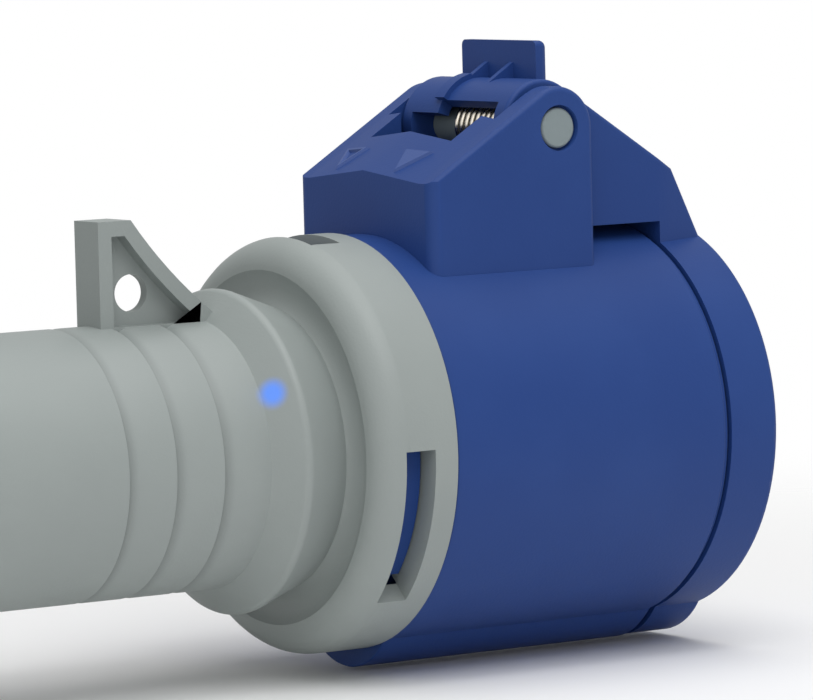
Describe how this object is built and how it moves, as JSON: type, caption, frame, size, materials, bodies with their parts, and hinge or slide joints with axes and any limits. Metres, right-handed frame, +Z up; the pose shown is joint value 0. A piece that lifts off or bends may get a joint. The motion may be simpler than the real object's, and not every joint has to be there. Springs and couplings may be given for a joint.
{
  "type": "pin and sleeve connector",
  "caption": "Splash-proof cable connector with a sprung lid over its contact sleeves, a bayonet rear housing with a hanging lug, and a gland nut.",
  "frame": {"origin": "centre of the front housing's front edge, where the plug's sleeve enters (mount plug_inlet)", "axes": "+X along the axis, out of the mouth towards the plug; +Z up towards the lid's hinge; +Y to the left, seen from behind the gland"},
  "size_m": [0.1355, 0.0554, 0.0825],
  "materials": {
    "blue_plastic": "fine satin",
    "grey_plastic": "fine matte",
    "pin_plastic": "satin",
    "carrier_plastic": "matte",
    "cage_plastic": "matte",
    "brass": "turned",
    "spring_steel": "bright drawn wire",
    "screw_steel": "zinc plated",
    "board": "satin",
    "lamp": "clear, lit",
    "rubber": "matte"
  },
  "bodies": {
    "rear": {"rear_housing": "grey_plastic", "clamp_cage": "cage_plastic", "gland_seal": "rubber"},
    "front": {"front_housing": "blue_plastic", "hinge_block": "blue_plastic", "bayonet_spigot": "blue_plastic", "housing_seal": "rubber", "contact_carrier": "carrier_plastic", "terminal_block": "carrier_plastic", "line_contact": "brass", "neutral_contact": "brass", "earth_contact": "brass", "pole_contact_rings": "spring_steel", "earth_contact_ring": "spring_steel", "terminal_screws": "screw_steel", "carrier_screws": "screw_steel", "indicator_board": "board", "indicator_lamp": "lamp", "hinge_pin": "pin_plastic", "hinge_spring": "spring_steel"},
    "lid_body": {"lid": "blue_plastic", "lid_gasket": "rubber"},
    "slip": {"slip_ring": "cage_plastic"},
    "nut": {"gland_nut": "grey_plastic"}
  },
  "joints": [
    {"name": "bayonet_twist", "type": "hinge", "parent": "rear", "child": "front", "pos_m": [0, 0, 0], "axis": [1, 0, 0], "range_deg": [0, 46]},
    {"name": "lid_hinge", "type": "hinge", "parent": "front", "child": "lid_body", "pos_m": [-0.0179, 0, 0.0408], "axis": [0, -1, 0], "range_deg": [0, 100], "stiffness_Nm_per_rad": 0.03, "springref_deg": -45.84},
    {"name": "gland_slide", "type": "slide", "parent": "rear", "child": "slip", "axis": [-1, 0, 0], "range_m": [0, 0.004]},
    {"name": "gland_turn", "type": "hinge", "parent": "slip", "child": "nut", "pos_m": [-0.117, 0, 0], "axis": [-1, 0, 0], "range_deg": [0, 720]}
  ],
  "couplings": [
    {"joint": "gland_slide", "follows": "gland_turn", "m_per_rad": 0.000318}
  ]
}
